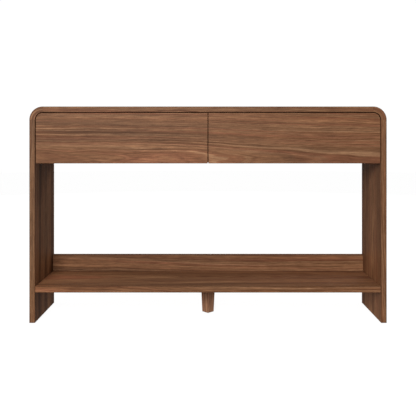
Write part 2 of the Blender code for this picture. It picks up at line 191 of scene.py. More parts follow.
def walnut(name, grain, log, pith, lightness_and_painted_light=1.0, banding=0.22, painted_light_tint=(1.0, 1.0, 1.0)):
    """Lacquered walnut. grain is the axis that the fibres follow, or an attribute with each point's
    place along the fibres, across them and through the board. log shifts the cut along the log,
    pith is the place of its centre beside the board, and banding the strength of the broad bands."""
    wood = bpy.context.scene.console_walnut
    shader = Shader(name)
    if grain in AXES:
        turn = (0, RIGHT_ANGLE, 0) if grain == "Z" else (0, 0, 0)
        inputs = {"Vector": shader.object_place(), "Rotation": turn, "Location": (log, 0, 0)}
        place = shader.node("ShaderNodeMapping", {}, inputs)
    else:
        place = shader.attribute(grain, output=1)

    # The rings of a log that wanders as it grows, cut through by the board
    fibre = place
    for frequency, swing in (((0.9, 4.0, 4.0), wood.bend), ((4.0, 28.0, 28.0), wood.ripple)):
        drift = shader.vector("SUBTRACT", shader.noise(place, frequency, output=1), (0.5, 0.5, 0.5))
        fibre = shader.vector("MULTIPLY_ADD", drift, (0, swing, swing), fibre)
    across = shader.vector("MULTIPLY", shader.vector("SUBTRACT", fibre, (0, *pith)), (0, 1, 1))
    along = shader.coordinate(place, "X")
    radius = shader.vector("LENGTH", across, output=1) + along * wood.taper
    growth = shader.node("ShaderNodeCombineXYZ", {}, {0: along, 1: radius})
    phase = shader.math("FRACT", radius / wood.ring_spacing)
    late = shader.ramp(phase, (0.0, 0.05), (0.5, 0.2), (0.84, 1.0), (0.93, 0.9), (1.0, 0.05))

    def bands(lengthwise, radial, layer, low, high, detail=2.0, roughness=0.5, least=0.0):
        """Bands that follow the rings, least where their noise is below low and 1 above high."""
        pattern = shader.noise(growth, (lengthwise, radial, 0), detail, roughness, layer=layer)
        return shader.ramp(pattern, (low, least), (high, 1.0))

    # Bands of colour that follow the rings, then the fine fibres and pores of the cut face
    zones = bands(0.5, 150.0, 1.3, 0.40, 0.60, 3.0)
    redness = bands(1.0, 190.0, 4.7, 0.50, 0.64)
    paleness = bands(0.9, 300.0, 7.1, 0.55, 0.68)
    streaks = bands(1.0, 340.0, 9.2, 0.48, 0.62, 3.0, 0.6)
    lines = bands(2.6, 850.0, 15.8, 0.50, 0.64, 2.0, 0.6)
    strength = bands(1.2, 60.0, 12.6, 0.40, 0.62, least=0.1)
    broad = shader.noise(growth, (0.7, 34.0, 0), layer=21.4)
    wisps = shader.noise(fibre, (13.0, 230.0, 230.0), 4.0, 0.78)
    patches = shader.noise(fibre, (3.0, 26.0, 26.0), layer=3.3)
    patches = shader.ramp(patches, (0.35, 0.15), (0.65, 1.0))
    fibres = shader.noise(fibre, (18.0, 700.0, 700.0), 3.0, 0.65)
    pores = shader.noise(place, (90.0, 2400.0, 2400.0), 1.0)
    pores = shader.ramp(pores, (0.62, 0.0), (0.70, 1.0))

    colour = shader.mix(zones, wood.tan, wood.brown)
    layers = (
        (redness * 0.7, wood.red),
        (paleness * 0.65, wood.pale),
        (late * strength * wood.ring_strength, wood.dark),
        (streaks * patches * wood.streak_strength, wood.dark),
        (lines * wood.streak_strength * 0.6, wood.dark),
    )
    for share, tone in layers:
        colour = shader.mix(share, colour, tone)
    dull, bright = (0.57, 0.49, 0.45), (1.40, 1.42, 1.43)
    # Each board's lightness and tint scale its tone. This is partly real difference between boards and
    # partly painted light and shade, which make a board paler or darker by how it is lit.
    ends = [tuple(lightness_and_painted_light * a * b for a, b in zip(end, painted_light_tint)) for end in (dull, bright)]
    colour = shader.shade(colour, wisps, (0.28, ends[0]), (0.72, ends[1]))
    for pattern, swing in ((broad, banding), (fibres, 0.30)):
        colour = shader.shade(colour, pattern, (0.30, 1 - swing), (0.70, 1 + swing))
    arris = shader.attribute("arris", output=2)
    for share in (pores * 0.4, arris * wood.arris_strength):
        colour = shader.mix(share, colour, wood.dark)
    return shader.finish(
        Base_Color=colour,
        Roughness=wood.roughness + streaks * 0.05 + pores * 0.12,
        Normal=shader.bump(fibres * 0.4 - pores, 0.00012, 0.6),
        Specular_IOR_Level=wood.gloss,
    )


def plywood(name, thickness):
    """Birch plywood, whose edges show their plies. thickness is the axis through the board."""
    tones = bpy.context.scene.console_hardware
    shader = Shader(name)
    place = shader.object_place()
    along = (2.5, 60.0, 60.0) if thickness != "X" else (60.0, 2.5, 60.0)
    figure = shader.noise(place, along, 3.0, 0.55)
    fibres = shader.noise(place, tuple(20.0 * f for f in along), 2.0, 0.6)
    late = shader.ramp(figure, (0.35, 0.0), (0.68, 1.0))
    colour = shader.mix(late, tones.birch, tones.birch_late)
    normal = shader.node("ShaderNodeNewGeometry", {}, {}, output=1)
    facing = shader.math("ABSOLUTE", shader.coordinate(normal, thickness))
    edge = 1 - shader.math("ROUND", facing)
    ply = shader.math("FRACT", shader.coordinate(place, thickness) / (2 * tones.ply))
    cross_ply = shader.ramp(ply, (0.46, 0.0), (0.5, 1.0), (0.96, 1.0), (1.0, 0.0))
    glue = shader.ramp(ply, (0.40, 0.0), (0.48, 1.0), (0.56, 0.0), (0.92, 0.0), (1.0, 1.0))
    for share, tone in ((cross_ply * 0.65, tones.birch_cross), (glue * 0.55, tones.glue)):
        colour = shader.mix(edge * share, colour, tone)
    return shader.finish(
        Base_Color=shader.shade(colour, fibres, (0.3, 0.90), (0.7, 1.08)),
        Roughness=0.42 + edge * 0.2 + figure * 0.1,
        Normal=shader.bump(fibres, 0.00008, 0.5),
    )


def zinc_plate(name):
    """Bright zinc on rolled steel, with the faint cloudiness of the plating and lines of rolling."""
    shader = Shader(name)
    place = shader.object_place()
    cloud = shader.noise(place, 40.0, 3.0)
    lines = shader.noise(place, (900.0, 12.0, 900.0))
    return shader.finish(
        Base_Color=shader.mix(cloud, (0.50, 0.51, 0.53), (0.64, 0.65, 0.66)),
        Metallic=1.0,
        Roughness=0.24 + cloud * 0.14 + lines * 0.08,
        Normal=shader.bump(lines, 0.00003, 0.4),
    )


def plain(name, frequency, detail, dull, bright, smoothest, swing, relief=None, **others):
    """A material cloudy between two tones, and rougher by swing where it is bright. relief is the
    distance and strength of its bumps."""
    shader = Shader(name)
    cloud = shader.noise(shader.object_place(), frequency, detail)
    if relief:
        others["Normal"] = shader.bump(cloud, *relief)
    colour = shader.mix(cloud, dull, bright)
    return shader.finish(Base_Color=colour, Roughness=smoothest + cloud * swing, **others)


def metal(name, *values):
    return plain(name, *values, Metallic=1.0)


def nylon(name, tone):
    """Moulded nylon with a fine spark-eroded texture."""
    lighter = [1.35 * c for c in tone]
    return plain(name, 2500.0, 1.0, tone, lighter, 0.46, 0.12, (0.00004, 0.6))


def beech(name):
    """Bare beech dowel, with its short dark flecks."""
    shader = Shader(name)
    place = shader.object_place()
    flecks = shader.ramp(shader.noise(place, 700.0, 1.0), (0.58, 0.0), (0.7, 1.0))
    tone = shader.noise(place, 90.0)
    colour = shader.mix(tone, (0.56, 0.38, 0.24), (0.64, 0.46, 0.30))
    colour = shader.mix(flecks * 0.5, colour, (0.36, 0.21, 0.12))
    return shader.finish(Base_Color=colour, Roughness=0.6 + flecks * 0.1)


FINISHES = {
    "walnut_fronts": (walnut, "X", 0.0, (-0.058, 0.645), 0.955, 0.34),
    "walnut_top": (walnut, "X", 1.7, (0.02, 0.73), 0.82, 0.3),
    "walnut_shelf": (walnut, "X", 4.1, (0.01, 0.03), 1.03, 0.5),
    "walnut_rail": (walnut, "X", 6.2, (0.21, 0.08), 0.95, 0.35),
    "walnut_bay": (walnut, "X", 8.6, (-0.02, 0.52)),
    # Painted shade darkens the left side and painted light makes the right side paler. Painted light also
    # makes the foot much paler and cooler where the shelf shades it.
    "walnut_left_side": (walnut, "Z", 1.1, (0.02, 0.58), 0.80, 0.62),
    "walnut_right_side": (walnut, "Z", 3.4, (-0.03, -0.58), 1.03, 0.35),
    "walnut_foot": (walnut, "Z", 5.3, (0.08, 0.05), 1.52, 0.22, (1.0, 1.10, 1.32)),
    "walnut_corner": (walnut, "grain", 0.0, (0.0, -0.03), 0.9),
    "birch_ply_x": (plywood, "X"),
    "birch_ply_y": (plywood, "Y"),
    "birch_ply_z": (plywood, "Z"),
    "zinc_plate": (zinc_plate,),
    "die_cast": (
        metal, 1400.0, 2.0, (0.34, 0.34, 0.35), (0.52, 0.52, 0.53), 0.42, 0.15, (0.0001, 0.5),
    ),
    "ball_steel": (metal, 300.0, 2.0, (0.66, 0.66, 0.67), (0.80, 0.80, 0.80), 0.08, 0.1),
    "brass": (metal, (120.0, 60.0, 120.0), 3.0, (0.58, 0.47, 0.26), (0.70, 0.60, 0.36), 0.26, 0.14),
    "dark_nylon": (nylon, (0.05, 0.034, 0.026)),
    "grey_nylon": (nylon, (0.20, 0.20, 0.20)),
    "beech": (beech,),
}


def finish_named(name):
    """The material of that name, made the first time it is asked for."""
    if name not in bpy.data.materials:
        make, *values = FINISHES[name]
        make(name, *values)
    return bpy.data.materials[name]


# Mesh tools


def add_object(name, data):
    obj = bpy.data.objects.new(name, data)
    bpy.context.scene.collection.objects.link(obj)
    return obj


def mesh_object(name, mesh, material):
    mesh.materials.append(finish_named(material))
    return add_object(name, mesh)


def mesh_of(shape, name):
    """Turns a bmesh into a mesh, and frees it."""
    mesh = bpy.data.meshes.new(name)
    shape.to_mesh(mesh)
    shape.free()
    return mesh


def arc(centre, radius, start, end, steps):
    """Points along an arc, both ends included. Angles are in degrees."""
    angles = [math.radians(start + (end - start) * i / steps) for i in range(steps + 1)]
    return [(centre[0] + radius * math.cos(a), centre[1] + radius * math.sin(a)) for a in angles]


def rounded_outline(low, high, radii, inset=0.0):
    """A rectangle whose corners, anticlockwise from low, have the given radii, drawn in by inset. Every
    inset of one rectangle has as many points. Gives the points, and for each of them how deep it lies
    in an eased edge, from 0 to 1."""
    corners = (
        (low[0], low[1], 1, 1, 180),
        (high[0], low[1], -1, 1, 270),
        (high[0], high[1], -1, -1, 0),
        (low[0], high[1], 1, -1, 90),
    )
    points, depths = [], []
    for (x, y, right, up, start), radius in zip(corners, radii):
        reach = max(radius, inset)
        eased = radius < BIG_CORNER
        steps = EDGE_STEPS if eased else CORNER_STEPS
        bend = arc((x + right * reach, y + up * reach), reach - inset, start, start + 90, steps)
        fade = FADE if eased else 0.0
        into, out_of = math.radians(start + 90), math.radians(start + 180)
        before = (bend[0][0] - fade * math.cos(into), bend[0][1] - fade * math.sin(into))
        after = (bend[-1][0] + fade * math.cos(out_of), bend[-1][1] + fade * math.sin(out_of))
        points += [before, *bend, after]
        depths += [0.0, *(eased * arris_depth(i / steps) for i in range(steps + 1)), 0.0]
    return points, depths


def arris_depth(share):
    """How strongly an eased edge is darkened at a share of the way round it."""
    return 0.5 + 0.5 * math.sin(math.pi * share)


def skin(shape, rings):
    """Joins rings of 3-D points, all of one length, by faces in a bmesh. Gives the rings of vertices."""
    loops = [[shape.verts.new(point) for point in ring] for ring in rings]
    for first, second in zip(loops, loops[1:]):
        for i in range(len(first)):
            j = (i + 1) % len(first)
            shape.faces.new((first[i], first[j], second[j], second[i]))
    return loops


def weld(shape):
    """Merges the vertices of a bmesh that lie in one place, and turns its faces outwards."""
    bmesh.ops.remove_doubles(shape, verts=shape.verts, dist=WELD)
    bmesh.ops.recalc_face_normals(shape, faces=shape.faces)


def cap(shape, loops):
    """Closes the two ends of a skin."""
    shape.faces.new(reversed(loops[0]))
    shape.faces.new(loops[-1])
    weld(shape)


def loft(name, rings, material, arris=None, grain=None):
    """A closed solid with flat ends on rings of 3-D points. For every point in turn, arris holds 1 in
    the middle of an eased edge and 0 away from it, and grain its place in the wood."""
    shape = bmesh.new()
    arris_layer = shape.verts.layers.float.new("arris")
    grain_layer = shape.verts.layers.float_vector.new("grain") if grain else None
    loops = skin(shape, rings)
    vertices = [vertex for ring in loops for vertex in ring]
    for vertex, depth in zip(vertices, arris or []):
        vertex[arris_layer] = depth
    for vertex, place in zip(vertices, grain or []):
        vertex[grain_layer] = place
    cap(shape, loops)
    return mesh_object(name, mesh_of(shape, name), material)


def ease_stations(low, high, ease, ends):
    """Stations between two levels. Each is its level, how far the outline is drawn in there, and how
    deep it lies in the eased edge, from 0 to 1. ends says which of the two ends are eased."""
    edge = [(ease + FADE, 0.0, 0.0)]
    for i in range(EDGE_STEPS + 1):
        a = math.radians(90 * i / EDGE_STEPS)
        deep = arris_depth(i / EDGE_STEPS)
        edge.insert(0, (ease * (1 - math.sin(a)), ease * (1 - math.cos(a)), deep))
    edge = [(0.0, ease + FADE, 0.0), *edge]
    start = [(low + rise, inset, deep) for rise, inset, deep in edge]
    finish = [(high - rise, inset, deep) for rise, inset, deep in reversed(edge)]
    return (start if ends[0] else [(low, 0.0, 0.0)]) + (finish if ends[1] else [(high, 0.0, 0.0)])


def board(name, low, high, axis, material, radii=None, ends=(True, True), line=1.0):
    """A board between two corners, lofted along axis from its rounded outline. ends says which faces at
    the ends of that axis have eased edges, and line how dark the line along an edge is."""
    ease = bpy.context.scene.console_boards.ease
    through = AXES[axis]
    first, second = [i for i in range(3) if i != through]
    flat_low, flat_high = (low[first], low[second]), (high[first], high[second])
    rings, arris = [], []
    for level, inset, deep in ease_stations(low[through], high[through], ease, ends):
        outline, depths = rounded_outline(flat_low, flat_high, radii or [ease] * 4, inset)
        ring = []
        for a, b in outline:
            point = [0, 0, 0]
            point[through], point[first], point[second] = level, a, b
            ring.append(point)
        rings.append(ring)
        arris += [line * max(deep, depth * max(0, 1 - inset / ease)) for depth in depths]
    return loft(name, rings, material, arris)


def carve(obj, shape):
    """Cuts a bmesh out of a piece, and frees it."""
    cutter = add_object("cutter", mesh_of(shape, "cutter"))
    boolean = obj.modifiers.new("cut", "BOOLEAN")
    boolean.operation = "DIFFERENCE"
    boolean.object = cutter
    settle(obj)
    bpy.data.objects.remove(cutter)
    return obj


def drill(obj, *holes):
    """Bores round holes, each given as (start, end, radius, segments)."""
    shape = bmesh.new()
    for start, end, radius, segments in holes:
        along = Vector(end) - Vector(start)
        place = aim((Vector(start) + Vector(end)) / 2, along)
        size = {"radius1": radius, "radius2": radius, "depth": along.length}
        bmesh.ops.create_cone(shape, cap_ends=True, segments=segments, matrix=place, **size)
    return carve(obj, shape)


def cross_recess(obj, centre, arm, width, depth):
    """Cuts a cross for a driver into a face at centre that looks along Z, to a depth either way."""
    for size in ((arm, width, 2 * depth), (width, arm, 2 * depth)):
        shape = bmesh.new()
        bmesh.ops.create_cube(shape, size=1)
        bmesh.ops.scale(shape, vec=size, verts=shape.verts)
        bmesh.ops.translate(shape, vec=centre, verts=shape.verts)
        carve(obj, shape)
    return obj


def copy_of(node, name, material):
    """A merged copy of a CAD node that can be carved and shaded smooth."""
    shape = bmesh.new()
    shape.from_mesh(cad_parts[node].data)
    weld(shape)
    mesh = mesh_of(shape, name)
    mesh.materials.clear()
    return mesh_object(name, mesh, material)


def settle(obj):
    """Turns the evaluated object into a plain mesh and drops its modifiers."""
    bpy.context.view_layer.update()
    graph = bpy.context.evaluated_depsgraph_get()
    mesh = bpy.data.meshes.new_from_object(obj.evaluated_get(graph))
    obj.modifiers.clear()
    obj.data = mesh
    return obj


def smooth(obj, angle=math.radians(35)):
    """Shades round faces smooth and keeps wide flat faces flat up to their eased edges."""
    obj.data.shade_smooth()
    obj.data.set_sharp_from_angle(angle=angle)
    weights = obj.modifiers.new("weighted normals", "WEIGHTED_NORMAL")
    weights.keep_sharp = True
    weights.weight = 100
    return settle(obj)


def place_piece(obj, body, slot, *nodes, rounded=True):
    """Puts a piece on its body, in the place of CAD nodes, shaded smooth where it is rounded."""
    if rounded:
        smooth(obj)
    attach(obj, body)
    if nodes:
        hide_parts(*nodes)
    return obj


def paint(node, material):
    """Gives a CAD node a finish."""
    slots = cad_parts[node].material_slots
    slots[0].material = finish_named(material)


def aim(place, axis):
    """The matrix that moves Z to a place and turns it along an axis."""
    return Matrix.Translation(place) @ Vector(axis).to_track_quat("Z", "Y").to_matrix().to_4x4()


def turned(name, profile, place, axis, material, segments=32):
    """A solid of revolution. The profile is (radius, distance) pairs along axis, a vector, from place."""
    matrix = aim(place, axis)
    rings = []
    for radius, distance in profile:
        circle = arc((0, 0), radius, 0, 360, segments)[:-1]
        rings.append([matrix @ Vector((x, y, distance)) for x, y in circle])
    return loft(name, rings, material)


# Geometry node trees


def tree_node(tree, kind, **inputs):
    """Adds a node. An input, whose words are joined by underscores, is a value, or a (node, output)
    pair that it is linked to."""
    node = tree.nodes.new(kind)
    for key, value in inputs.items():
        socket = node.inputs[key.replace("_", " ")]
        if isinstance(value, tuple):
            tree.links.new(value[0].outputs[value[1]], socket)
        else:
            socket.default_value = value
    return node


def points_object(name, points, material):
    """An object of loose vertices, for a tree to work on."""
    mesh = bpy.data.meshes.new(name)
    mesh.from_pydata(points, [], [])
    return mesh_object(name, mesh, material)


def ball_race(tree, entry):
    """Lays balls in a row."""
    row = {"Count": (entry, "Count"), "Start_Location": (entry, "First"), "Offset": (entry, "Pitch")}
    line = tree_node(tree, "GeometryNodeMeshLine", **row)
    size = {"Segments": 14, "Rings": 8, "Radius": (entry, "Ball Radius")}
    ball = tree_node(tree, "GeometryNodeMeshUVSphere", **size)
    placed = tree_node(tree, "GeometryNodeInstanceOnPoints", Points=(line, 0), Instance=(ball, 0))
    return tree_node(tree, "GeometryNodeSetShadeSmooth", Geometry=(placed, 0))


def pieces_at_points(tree, entry):
    """Puts one master piece at each vertex, turned by Rotation."""
    master = tree_node(tree, "GeometryNodeObjectInfo", Object=(entry, "Master"))
    turn = tree_node(tree, "FunctionNodeEulerToRotation", Euler=(entry, "Rotation"))
    points = {"Points": (entry, "Geometry"), "Instance": (master, "Geometry"), "Rotation": (turn, 0)}
    return tree_node(tree, "GeometryNodeInstanceOnPoints", **points)


SOCKETS = {"int": "Int", "float": "Float", "tuple": "Vector", "Object": "Object", "Material": "Material"}


def tree_for(lay_out, values):
    """The tree named after the function that lays it out, with an input for each of the values. It is
    made the first time, and ends in real geometry in its material."""
    found = bpy.data.node_groups.get(lay_out.__name__)
    if found:
        return found
    tree = bpy.data.node_groups.new(lay_out.__name__, "GeometryNodeTree")
    for way in ("INPUT", "OUTPUT"):
        tree.interface.new_socket("Geometry", in_out=way, socket_type="NodeSocketGeometry")
    for title, value in values.items():
        kind = "NodeSocket" + SOCKETS[type(value).__name__]
        tree.interface.new_socket(title, in_out="INPUT", socket_type=kind)
    entry = tree.nodes.new("NodeGroupInput")
    real = tree_node(tree, "GeometryNodeRealizeInstances", Geometry=(lay_out(tree, entry), 0))
    material = (entry, "Material")
    painted = tree_node(tree, "GeometryNodeSetMaterial", Geometry=(real, 0), Material=material)
    tree_node(tree, "NodeGroupOutput", Geometry=(painted, 0))
    return tree


def grow(obj, lay_out, **values):
    """Runs a geometry tree on an object and keeps the result as its mesh. The values are its inputs,
    whose words are joined by underscores."""
    values = {key.replace("_", " "): value for key, value in values.items()}
    values["Material"] = obj.data.materials[0]
    modifier = obj.modifiers.new(lay_out.__name__, "NODES")
    modifier.node_group = tree_for(lay_out, values)
    for item in modifier.node_group.interface.items_tree:
        if item.name in values:
            modifier[item.identifier] = values[item.name]
    return settle(obj)


# Sizes and colours that a user may change


def tone_setting(title, note, colour):
    limits = {"size": 3, "min": 0, "max": 1}
    return bpy.props.FloatVectorProperty(
        name=title, description=note, default=colour, subtype="COLOR", **limits
    )


def number_setting(title, note, default, **details):
    return bpy.props.FloatProperty(name=title, description=note, default=default, **details)


def length_setting(title, note, default, **limits):
    return number_setting(title, note, default, unit="LENGTH", **limits)


def share_setting(title, note, default, low=0, high=1):
    return number_setting(title, note, default, min=low, max=high, subtype="FACTOR")


def power_setting(title, note, default):
    return number_setting(title, note, default, min=0, unit="POWER")


class WalnutSettings(bpy.types.PropertyGroup):
    """Tones and figure of the walnut."""

    tan: tone_setting("Tan", "Main colour of the pale zones", (0.312, 0.154, 0.074))
    brown: tone_setting("Brown", "Main colour of the darker zones", (0.203, 0.0885, 0.0390))
    red: tone_setting("Red", "Colour of the reddish zones", (0.262, 0.0985, 0.0490))
    pale: tone_setting("Pale", "Colour of the pale streaks", (0.435, 0.243, 0.128))
    dark: tone_setting("Dark", "Colour of late wood, dark streaks and pores", (0.080, 0.0305, 0.0122))
    ring_spacing: length_setting(
        "Ring Spacing", "Width of one year's ring in the log", 0.0048, min=0.001, max=0.02
    )
    bend: length_setting("Bend", "How far the log wanders along its length", 0.030, min=0, max=0.4)
    taper: number_setting(
        "Taper", "How much the log's radius shrinks over one metre", 0.014, min=0, max=0.2
    )
    ripple: length_setting("Ripple", "Size of the small waves in the rings", 0.008, min=0, max=0.05)
    ring_strength: share_setting("Ring Strength", "How dark the late wood of a ring is", 0.32)
    streak_strength: share_setting("Streak Strength", "How dark the long streaks are", 0.58)
    arris_strength: share_setting("Edge Line", "How dark the line along an eased edge is", 1.0)
    roughness: share_setting("Roughness", "Roughness of the lacquer between the pores", 0.52)
    gloss: share_setting("Gloss", "Strength of the lacquer's reflection", 0.15)


class BoardSettings(bpy.types.PropertyGroup):
    """Shape of the boards."""

    ease: length_setting(
        "Eased Edge", "Radius of the eased edges of a board", 0.001, min=0.0002, max=0.003
    )
    foot_ease: length_setting(
        "Foot Arris", "Radius of the rounded arrises of the middle foot", 0.0032, min=0.0005, max=0.008
    )
    foot_taper: share_setting(
        "Foot Taper", "Width of the middle foot at the floor over its width at the shelf", 0.815, 0.5
    )


class HardwareSettings(bpy.types.PropertyGroup):
    """Drawer boxes, slides and screws."""

    birch: tone_setting("Birch", "Colour of the birch face plies", (0.66, 0.50, 0.33))
    birch_late: tone_setting("Birch Figure", "Colour of the darker figure of birch", (0.56, 0.40, 0.25))
    birch_cross: tone_setting("Cross Ply", "Colour of a cross ply's end grain", (0.42, 0.28, 0.17))
    glue: tone_setting("Glue Line", "Colour of the glue between two plies", (0.20, 0.12, 0.07))
    sheet: length_setting("Sheet", "Thickness of the steel of a slide", 0.0012, min=0.0008)
    sheet_bend: length_setting("Sheet Bend", "Outer radius of a slide's bends", 0.0026, min=0.0015)
    ply: length_setting("Ply", "Thickness of one ply", 0.00133, min=0.0005, max=0.003)
    ball_radius: length_setting(
        "Ball Radius", "Radius of the balls in the slides", 0.00135, min=0.001, max=0.0014
    )
    ball_pitch: length_setting(
        "Ball Pitch", "Distance between two balls of a race", 0.0085, min=0.003, max=0.02
    )
    screw_radius: length_setting("Screw Head", "Radius of a screw's head", 0.0036, min=0.002, max=0.006)


class StageSettings(bpy.types.PropertyGroup):
    """Camera, lights and floor."""

    distance: length_setting("Distance", "From the camera to the front of the table", 2.393, min=1)
    eye_height: length_setting("Eye Height", "Height of the camera above the floor", 0.718, min=0)
    lens: number_setting("Lens", "Focal length in millimetres", 52.87, min=10)
    shift: number_setting("Shift", "Vertical shift that keeps uprights upright", -0.163)
    key: power_setting("Key Light", "Power of the large light at the front left", 180.0)
    rear: power_setting("Rear Light", "Power of the light behind the table", 52.0)
    fill: power_setting("Fill Lights", "Power of each soft light that faces a side or the back", 20.0)
    bounce: power_setting("Floor Bounce", "Power that the pale floor throws up under the shelf", 0.4)
    ambient: number_setting("Ambient", "Strength of the light from all round", 0.155, min=0)
    floor_tone: number_setting(
        "Floor Tone", "Glow of the floor under the table, in its shadow", 0.95, min=0, max=1
    )


# Pieces


class CONSOLE_OT_frame_boards(bpy.types.Operator):
    """Top, side panels, shelf and back rail with eased edges"""

    bl_idname = "console.frame_boards"
    bl_label = "Frame Boards"

    def execute(self, context):
        boards = {
            "top_panel": ("top_board", "X", "walnut_top", (False, False)),
            "shelf": ("shelf_board", "X", "walnut_shelf", (True, True)),
            "shelf_rail": ("shelf_back_rail", "X", "walnut_rail", (True, True)),
            "side_panel_left": ("left_side_board", "Z", "walnut_left_side", (True, False)),
            "side_panel_right": ("right_side_board", "Z", "walnut_right_side", (True, False)),
        }
        for node, (name, axis, finish, ends) in boards.items():
            piece = board(name, *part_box(node), axis, finish, ends=ends)
            if node == "shelf":
                drill(piece, *self.cam_pockets())
            place_piece(piece, "frame", "walnut_veneer", node)
        return {"FINISHED"}

    def cam_pockets(self):
        """Holes in the shelf's underside, a little wider and deeper than the cams."""
        clearance, run_out = 0.0005, 0.003
        pockets = []
        for node in CAMS:
            low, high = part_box(node)
            x, y, _ = (low + high) / 2
            mouth, bottom = (x, y, low.z - run_out), (x, y, high.z + clearance)
            pockets.append((mouth, bottom, (high.x - low.x) / 2 + clearance, 40))
        return pockets


class CONSOLE_OT_corner_blocks(bpy.types.Operator):
    """Rounded corner blocks whose grain follows the bend"""

    bl_idname = "console.corner_blocks"
    bl_label = "Corner Blocks"

    def execute(self, context):
        ease = context.scene.console_boards.ease
        steps, seam = 64, 0.0003  # each end stands back from its board by the seam
        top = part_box("top_panel")
        thickness = top[1].z - top[0].z
        for i, hand in enumerate(HANDS):
            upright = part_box(f"side_panel_{hand}")
            side, seam_x = 2 * i - 1, top[i].x
            radius = abs(upright[i].x - seam_x)
            corners = (radius - thickness, top[0].y), (radius, top[1].y)
            outline, depths = rounded_outline(*corners, [ease] * 4)
            gap = seam / radius
            rings, grain = [], []
            for step in range(steps + 1):
                angle = gap + (RIGHT_ANGLE - 2 * gap) * step / steps
                ring = []
                for reach, y in outline:
                    x = seam_x + side * reach * math.cos(angle)
                    ring.append((x, y, upright[1].z + reach * math.sin(angle)))
                    grain.append((angle * (radius - thickness / 2) + side, y, reach))
                rings.append(ring)
            arris = depths * len(rings)
            block = loft(f"{hand}_corner_bend", rings, "walnut_corner", arris, grain)
            place_piece(block, "frame", "solid_walnut", f"corner_block_{hand}")
        return {"FINISHED"}


class CONSOLE_OT_middle_foot(bpy.types.Operator):
    """Tapered square foot, set corner-forward, with rounded arrises"""

    bl_idname = "console.middle_foot"
    bl_label = "Middle Foot"

    def execute(self, context):
        low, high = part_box("middle_foot")
        centre = (low + high) / 2
        radius = context.scene.console_boards.foot_ease
        floor_ease, line = 0.0015, 0.6
        lost_corner = radius * (math.sqrt(2) - 1)
        top_half = ((high.x - low.x) / 2 + lost_corner) / math.sqrt(2)
        bottom_half = top_half * context.scene.console_boards.foot_taper
        turn = Matrix.Rotation(RIGHT_ANGLE / 2, 2)
        rings, arris = [], []
        for z, inset, deep in ease_stations(low.z, high.z, floor_ease, (True, False)):
            share = (z - low.z) / (high.z - low.z)
            half = bottom_half + (top_half - bottom_half) * share
            outline, _ = rounded_outline((-half, -half), (half, half), [radius] * 4, inset)
            turned_points = (turn @ Vector(point) for point in outline)
            rings.append([(centre.x + x, centre.y + y, z) for x, y in turned_points])
            arris += [line * deep] * len(outline)
        foot = loft("tapered_foot", rings, "walnut_foot", arris)
        place_piece(foot, "frame", "solid_walnut", "middle_foot")
        return {"FINISHED"}


class CONSOLE_OT_drawer_fronts(bpy.types.Operator):
    """Drawer fronts whose outer upper corner follows the frame"""

    bl_idname = "console.drawer_fronts"
    bl_label = "Drawer Fronts"

    def execute(self, context):
        ease = context.scene.console_boards.ease
        line = 0.45
        for hand in HANDS:
            node = f"{hand}_drawer_front"
            low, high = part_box(node)
            big = high.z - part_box(f"side_panel_{hand}")[1].z
            radii = [ease, ease, ease, big] if hand == "left" else [ease, ease, big, ease]
            front = board(f"{hand}_front_board", low, high, "Y", "walnut_fronts", radii, line=line)
            place_piece(front, f"{hand}_drawer", "walnut_veneer", node)
        return {"FINISHED"}


class CONSOLE_OT_carcass_finish(bpy.types.Operator):
    """Finishes of the carcass and drawer pieces that keep their plain shape"""

    bl_idname = "console.carcass_finish"
    bl_label = "Carcass Finishes"

    def execute(self, context):
        for node in ("bay_floor", "bay_divider", "bay_back"):
            paint(node, "walnut_bay")
        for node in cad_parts:
            if "dowel" in node:
                paint(node, "beech")
            elif node.startswith(("foot_", "shelf_cam_bolt")):
                paint(node, "zinc_plate")
            elif "drawer_bottom" in node:
                paint(node, "birch_ply_z")
            elif "drawer_box" in node:
                paint(node, "birch_ply_y" if node.endswith(ENDS) else "birch_ply_x")
        return {"FINISHED"}


def web_of(box, opens):
    """Where the outside of a channel's web is, when it opens to the right (1) or to the left (-1)."""
    return box[0].x if opens > 0 else box[1].x


def channel_outline(back, tip, half):
    """A channel with rounded bends in (x, z), from the outside of its web to its flanges' ends."""
    sizes = bpy.context.scene.console_hardware
    sheet, bend = sizes.sheet, sizes.sheet_bend
    way = 1 if tip > back else -1

    def corner(radius, start, end):
        points = arc((0, 0), radius, start, end, EDGE_STEPS)
        return [(back + way * (bend - x), half - bend + z) for x, z in points]

    upper, inner = [(tip, half), *corner(bend, 90, 0)], corner(bend - sheet, 0, 90)
    outer = upper + [(x, -z) for x, z in reversed(upper)]
    lower = [(tip, -half + sheet)] + [(x, -z) for x, z in reversed(inner)]
    return outer + lower + inner + [(tip, half - sheet)]


SCREW_HEADS = {"flat_head": (0.9, 0.0003, 0.2), "round_head": (1.0, 0.0017, 0.7)}


def screw_head(name):
    """A screw head with a cross recess, seated on the plane Z = 0. SCREW_HEADS gives its share of the
    radius that the user sets, its rise, and how round it is."""
    share, rise, dome = SCREW_HEADS[name]
    radius = share * bpy.context.scene.console_hardware.screw_radius
    sunk = -0.0008
    profile = [(AXLE, sunk), (radius * 0.75, sunk), (radius * 0.96, sunk / 8), (radius, 0.0)]
    for x, z in arc((0, 0), 1.0, 0, 90, EDGE_STEPS):
        profile.append((max(AXLE, radius * x ** dome), rise * z))
    head = turned(name, profile, (0, 0, 0), (0, 0, 1), "zinc_plate", 28)
    return cross_recess(head, (0, 0, rise), radius * 1.15, radius * 0.26, rise * 0.85 + 0.0004)


def screws(name, head, points, facing, body):
    """Puts one mesh of screws on a body. Their heads look along facing."""
    master = screw_head(head)
    turn = tuple(Vector(facing).to_track_quat("Z", "Y").to_euler())
    holder = points_object(name, points, "zinc_plate")
    grow(holder, pieces_at_points, Master=master, Rotation=turn)
    bpy.data.objects.remove(master)
    place_piece(holder, body, "zinc_steel", rounded=False)


